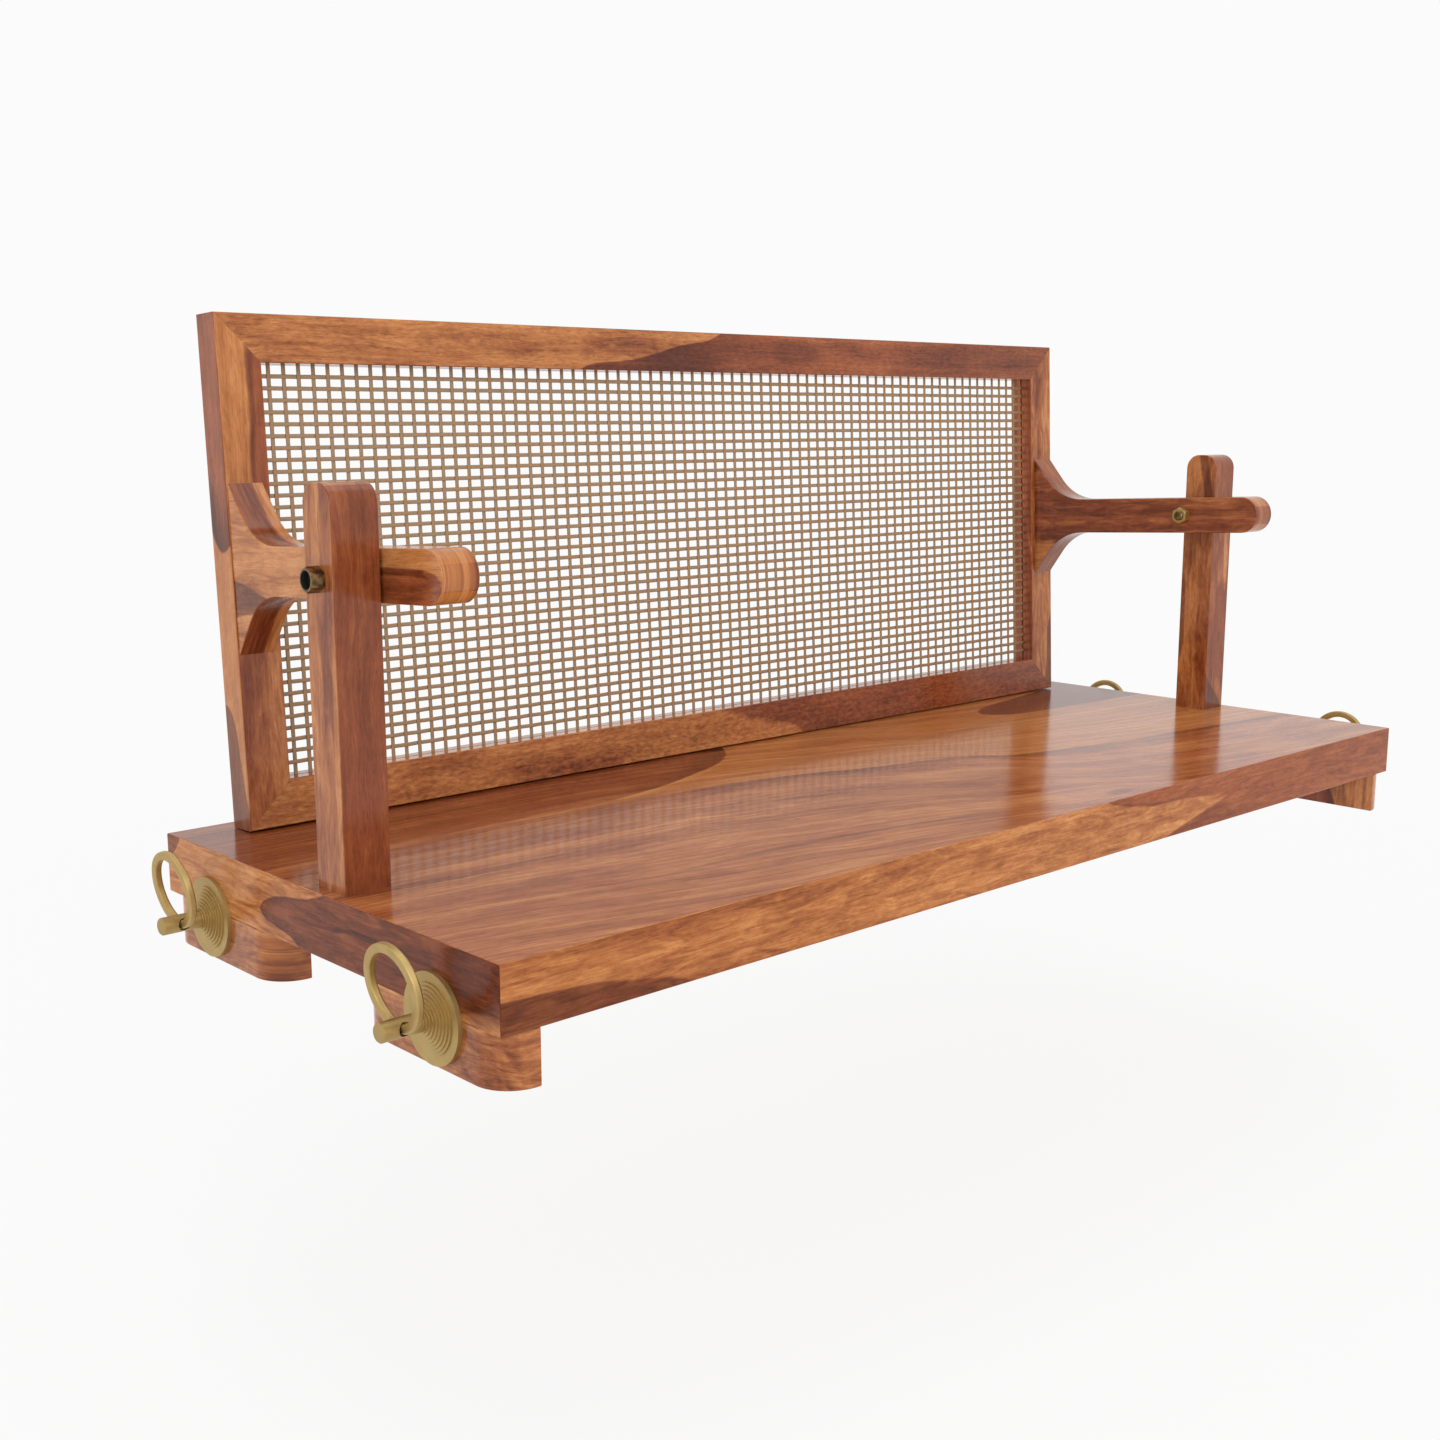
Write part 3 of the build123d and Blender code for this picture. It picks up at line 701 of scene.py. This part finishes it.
# Brass: satin, with turning marks round each hanger
ringPivot = joints["ring_swing_front_left"]
hanger = {"y": abs(ringPivot.y), "z": ringPivot.z, "ringUp": 32.2 * mm}
brassLook = {
    "colour": (0.53, 0.38, 0.158), "deep": (0.46, 0.32, 0.126), "roughness": 0.37, "bump": 0.06,
    "bumpDepth": 0.1, "polishShift": -0.1,
    "marks": (0.35, 4, 40), "marksBy": 0.4, "marksRoughness": 0.16,
    "patina": (14, 14, 14), "patinaCut": (0.35, 0.7), "patinaBy": 0.7, "patinaRoughness": 0.1,
}


def brass(name, look, centreZ):
    material, board = newMaterial(name)
    axes = swingAxes(board)
    across = axes[1].math("ABSOLUTE", axes[1]) - hanger["y"] / mm
    rise = axes[2] - centreZ / mm
    radius = axes[0].math("SQRT", across * across + rise * rise)
    marks = noise((radius, axes[0], axes[1]), look["marks"])
    patina = noise(axes, look["patina"], detail=3)
    wear = smooth(patina, *look["patinaCut"])
    polish = clamp(wear * look["patinaBy"] + marks * look["marksBy"] + look["polishShift"])
    colour = tint(polish, (*look["deep"], 1), (*look["colour"], 1))
    roughness = marks * look["marksRoughness"] + patina * look["patinaRoughness"] + look["roughness"]
    principled(board, {"Base Color": colour, "Metallic": 1.0, "Roughness": roughness,
                       "Normal": bumped(marks, look)})
    return material


corners = [end + "_" + side for end in ("front", "back") for side in ("left", "right")]
pinLook = {**brassLook, "colour": (0.48, 0.34, 0.14), "deep": (0.40, 0.275, 0.105)}
dress(["hanger_plate_" + c for c in corners], brass("brass_turned", brassLook, hanger["z"]))
dress(["ring_" + c for c in corners], brass("brass_ring", brassLook, hanger["z"] + hanger["ringUp"]))
dress(["hanger_pin_" + c for c in corners], brass("brass_pin", pinLook, hanger["z"]))
dress(["pivot_nut_left", "pivot_nut_right", "spacer_washer_left", "spacer_washer_right"],
      brass("brass_nut", brassLook, back["pivot"].z))


def twoTone(axes, look):                     # patches of a plain colour on a deeper one
    patches = smooth(noise(axes, look["patch"], detail=3), *look["cut"])
    return patches, tint(patches, (*look["deep"], 1), (*look["colour"], 1))


# Bolt heads: dark brass round a dish coloured near black as painted shade in its recess
boltLook = {
    "colour": (0.27, 0.175, 0.075), "deep": (0.10, 0.062, 0.03), "dishShade": (0.006, 0.006, 0.005),
    "patch": (5, 5, 5), "cut": (0.35, 0.65), "dish": 7.9, "floor": 6.4,
    "roughness": 0.34, "patchRoughness": 0.12, "dishRoughness": 0.4,
}


def boltBrass():
    material, board = newMaterial("brass_antique")
    axes = swingAxes(board)
    pivot = back["pivot"] / mm
    across, rise = axes[1] - pivot.y, axes[2] - pivot.z
    radius = axes[0].math("SQRT", across * across + rise * rise)
    outer = axes[0].math("ABSOLUTE", axes[0])
    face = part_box("pivot_bolt_right")[1].x / mm
    dish = (radius < boltLook["dish"]) * (outer > face - boltLook["floor"])
    patina, colour = twoTone(axes, boltLook)
    # painted shade: the recess of the dish is coloured near black, matt and not metallic
    colour = tint(dish, colour, (*boltLook["dishShade"], 1))
    roughness = patina * boltLook["patchRoughness"] + dish * boltLook["dishRoughness"]
    roughness = roughness + boltLook["roughness"]
    principled(board, {"Base Color": colour, "Metallic": 1 - dish, "Roughness": roughness})
    return material


# Screws and dowels
screwLook = {
    "colour": (0.42, 0.40, 0.36), "deep": (0.24, 0.22, 0.19), "patch": (2.5, 2.5, 2.5), "cut": (0.35, 0.7),
    "roughness": 0.38, "patchRoughness": 0.15, "metallic": 1.0,
}
dowelLook = {
    "colour": (0.55, 0.38, 0.22), "deep": (0.40, 0.25, 0.13), "patch": (3, 20, 3), "cut": (0.3, 0.7),
    "roughness": 0.5, "patchRoughness": 0.1, "metallic": 0.0,
}


def hiddenFixing(name, look):
    material, board = newMaterial(name)
    patches, colour = twoTone(swingAxes(board), look)
    roughness = patches * look["patchRoughness"] + look["roughness"]
    principled(board, {"Base Color": colour, "Metallic": look["metallic"], "Roughness": roughness})
    return material


dress(["pivot_bolt_left", "pivot_bolt_right"], boltBrass())
dress(["block_screws", "post_screws", "arm_screws"], hiddenFixing("screw_zinc", screwLook))
dress(["frame_dowels"], hiddenFixing("dowel_beech", dowelLook))
print("metal finished")

# Cane net: flat courses woven over and under straight uprights, their ends in the frame's groove
cane = {
    "uprights": 73, "uprightPitch": 15.75, "uprightWidth": 4.2, "uprightThick": 0.9, "uprightShift": -1.15,
    "courses": 34, "coursePitch": 11.1, "courseWidth": 4.0, "courseThick": 0.7, "courseShift": 0.7,
    "end": 2.0,                              # last flat stretch of a strip, inside the groove
    "rest": 0.36,                            # half a course's flat stretch, share of an upright's width
}
# Outline of a strip, in shares of its width and thickness
section = [(0.34, 0.5), (0.5, 0.2), (0.5, -0.2), (0.34, -0.5)]
section += [(-across, -out) for across, out in section]


def caneNet():
    low, high = lowCorner("cane_net", backPlace), highCorner("cane_net", backPlace)
    middle = (low + high) / 2
    points, faces = [], []

    def spread(count, pitch, centre):        # places of a row of strips
        return [centre + (i - (count - 1) / 2) * pitch for i in range(count)]

    def strip(centre, knots, width, thick, upright):
        first, last = knots[0], knots[-1]
        knots = [first, (first[0] + cane["end"], 0), *knots[1:-1], (last[0] - cane["end"], 0), last]
        sides, start = len(section), len(points)
        for knot, lift in knots:
            for across, out in section:
                aside, depth = centre + across * width, middle.y + lift + out * thick
                spot = (aside, depth, knot) if upright else (knot, depth, aside)
                points.append(backPlace @ (Vector(spot) * mm))
        rings = [range(start + k * sides, start + (k + 1) * sides) for k in range(len(knots))]
        skin = [tuple(rings[0])[::-1], tuple(rings[-1])]
        for here, there in zip(rings, rings[1:]):
            skin += [(here[s - 1], here[s], there[s], there[s - 1]) for s in range(sides)]
        faces.extend(face[::-1] if upright else face for face in skin)     # all face outwards

    uprights = spread(cane["uprights"], cane["uprightPitch"], middle.x + cane["uprightShift"])
    courses = spread(cane["courses"], cane["coursePitch"], middle.z + cane["courseShift"])
    for x in uprights:
        strip(x, [(low.z, 0), (high.z, 0)], cane["uprightWidth"], cane["uprightThick"], True)
    lift = (cane["uprightThick"] + cane["courseThick"]) / 2
    flat = cane["rest"] * cane["uprightWidth"]
    for j, z in enumerate(courses):
        knots = [(low.x, 0)]
        for i, x in enumerate(uprights):
            side = lift if (i + j) % 2 else -lift
            knots += [(x - flat, side), (x + flat, side)]
        strip(z, knots + [(high.x, 0)], cane["courseWidth"], cane["courseThick"], False)
    mesh = bpy.data.meshes.new("cane_webbing")
    mesh.from_pydata(points, [], faces)
    mesh.validate()
    mesh.shade_smooth()
    net = bpy.data.objects.new("cane_webbing", mesh)
    bpy.context.scene.collection.objects.link(net)
    return net


# Cane colours; edge is a painted shade colour for the strands' rounded sides
caneLook = {
    "brown": (0.385, 0.218, 0.112), "green": (0.30, 0.208, 0.112), "edge": (0.18, 0.118, 0.064),
    "facing": (0.35, 0.95), "blotch": (2.6, 2.6, 2.6), "blotchCut": (0.35, 0.65),
    "fibre": (0.5, 0.5, 9), "fibreBy": 0.5, "fibreLeast": 0.75, "bump": 0.2, "bumpDepth": 0.1,
    "roughness": 0.5, "blotchRoughness": 0.12,
}


def caneMaterial():
    material, board = newMaterial("cane")
    axes = pieceAxes(board, "cane_net", backPlace)
    spot = (axes["x"], axes["z"], axes["y"])
    normal = board.add("TexCoord", {}, {}, "Normal")
    facing = normal.add("SeparateXYZ", {}, {0: normal}, 1)
    flat = smooth(facing.math("ABSOLUTE", facing), *caneLook["facing"])
    blotch = smooth(noise(spot, caneLook["blotch"], detail=3), *caneLook["blotchCut"])
    fibre = noise(spot, caneLook["fibre"])
    colour = tint(blotch, (*caneLook["green"], 1), (*caneLook["brown"], 1))
    # painted shade: the strand's rounded sides, turned away from the front, take the darker edge colour
    colour = tint(1 - flat, colour, (*caneLook["edge"], 1))
    colour = shade(colour, fibre * caneLook["fibreBy"] + caneLook["fibreLeast"])
    roughness = blotch * caneLook["blotchRoughness"] + caneLook["roughness"]
    principled(board, {"Base Color": colour, "Roughness": roughness, "Normal": bumped(fibre, caneLook)})
    return material


net = caneNet()
net.data.materials.append(caneMaterial())
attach(net, "back")
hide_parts("cane_net")
print("cane net woven:", len(net.data.polygons), "faces")

# Floor below the hanging seat, white studio round it, in metres
studio = {
    "seatHeight": 0.45, "floorRadius": 14.0, "floorSides": 96, "near": 0.6, "far": 3.0, "glowNear": 0.88,
    "floorColour": (0.93, 0.93, 0.93, 1), "white": 0.965, "sky": 0.8,
}


def whiteRays(board):                        # rays that see the plain backdrop
    names = ("Is Camera Ray", "Is Glossy Ray", "Is Transmission Ray")
    camera, glossy, through = [board.add("LightPath", {}, {}, name) for name in names]
    return clamp(camera + glossy + through)


def makeFloor():
    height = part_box("seat_board")[1].z - studio["seatHeight"]
    bpy.ops.mesh.primitive_circle_add(vertices=studio["floorSides"], radius=studio["floorRadius"],
                                      fill_type="NGON", location=(0, 0, height))
    floor = bpy.context.object
    floor.name = "floor"
    material, board = newMaterial("floor_white")
    spot = board.add("TexCoord", {}, {}, "Object")
    distance = spot.add("VectorMath", {"operation": "LENGTH"}, {0: spot}, "Value")
    matt = board.add("BsdfDiffuse", {}, {"Color": studio["floorColour"]})
    glow = board.add("Emission", {}, {"Color": (1, 1, 1, 1), "Strength": studio["white"]})
    far = smooth(distance, studio["near"], studio["far"])
    bright = far * (1 - studio["glowNear"]) + studio["glowNear"]
    shader = board.add("MixShader", {}, {0: bright, 1: matt, 2: glow})
    finishMaterial(board, shader)
    floor.data.materials.append(material)


def makeWorld():
    world = bpy.data.worlds.new("studio")
    world.use_nodes = True
    world.node_tree.nodes.clear()
    board = Wire(world.node_tree)
    light = board.add("Background", {}, {"Color": (1, 1, 1, 1), "Strength": studio["sky"]})
    seen = board.add("Background", {}, {"Color": (1, 1, 1, 1), "Strength": studio["white"]})
    shader = board.add("MixShader", {}, {0: whiteRays(board), 1: light, 2: seen})
    board.add("OutputWorld", {}, {"Surface": shader})
    bpy.context.scene.world = world


lamps = {
    "left": {"place": (-2.3, 1.7, 0.6), "aim": (-0.6, 0, 0.2), "size": 2.2, "power": 12,
             "mirrored": False},
    "above": {"place": (-0.2, 0.0, 3.2), "aim": (0, 0, 0.1), "size": 3.0, "power": 18, "mirrored": True},
    "front": {"place": (-0.8, -3.3, 1.7), "aim": (0, 0, 0.2), "size": 2.6, "power": 42, "mirrored": True},
}


def makeLamps():
    for name, lamp in lamps.items():
        light = bpy.data.lights.new(name, "AREA")
        light.shape = "DISK"
        light.size = lamp["size"]
        light.energy = lamp["power"]
        holder = bpy.data.objects.new(name, light)
        holder.visible_glossy = lamp["mirrored"]
        holder.location = lamp["place"]
        holder.rotation_euler = (Vector(lamp["aim"]) - holder.location).to_track_quat("-Z", "Y").to_euler()
        bpy.context.scene.collection.objects.link(holder)


# Camera where the photograph was taken
shot = {
    "place": (-1.3655, -1.2287, 0.4922), "yaw": 43.006, "pitch": -10.252, "lens": 42.44, "sensor": 36.0,
}


def makeCamera():
    camera = bpy.data.cameras.new("camera")
    camera.lens = shot["lens"]
    camera.sensor_width = shot["sensor"]
    holder = bpy.data.objects.new("camera", camera)
    holder.location = shot["place"]
    holder.rotation_euler = (math.radians(90 + shot["pitch"]), 0, math.radians(-shot["yaw"]))
    bpy.context.scene.collection.objects.link(holder)
    bpy.context.scene.camera = holder


makeFloor()
makeWorld()
makeLamps()
makeCamera()
print("studio and camera set")
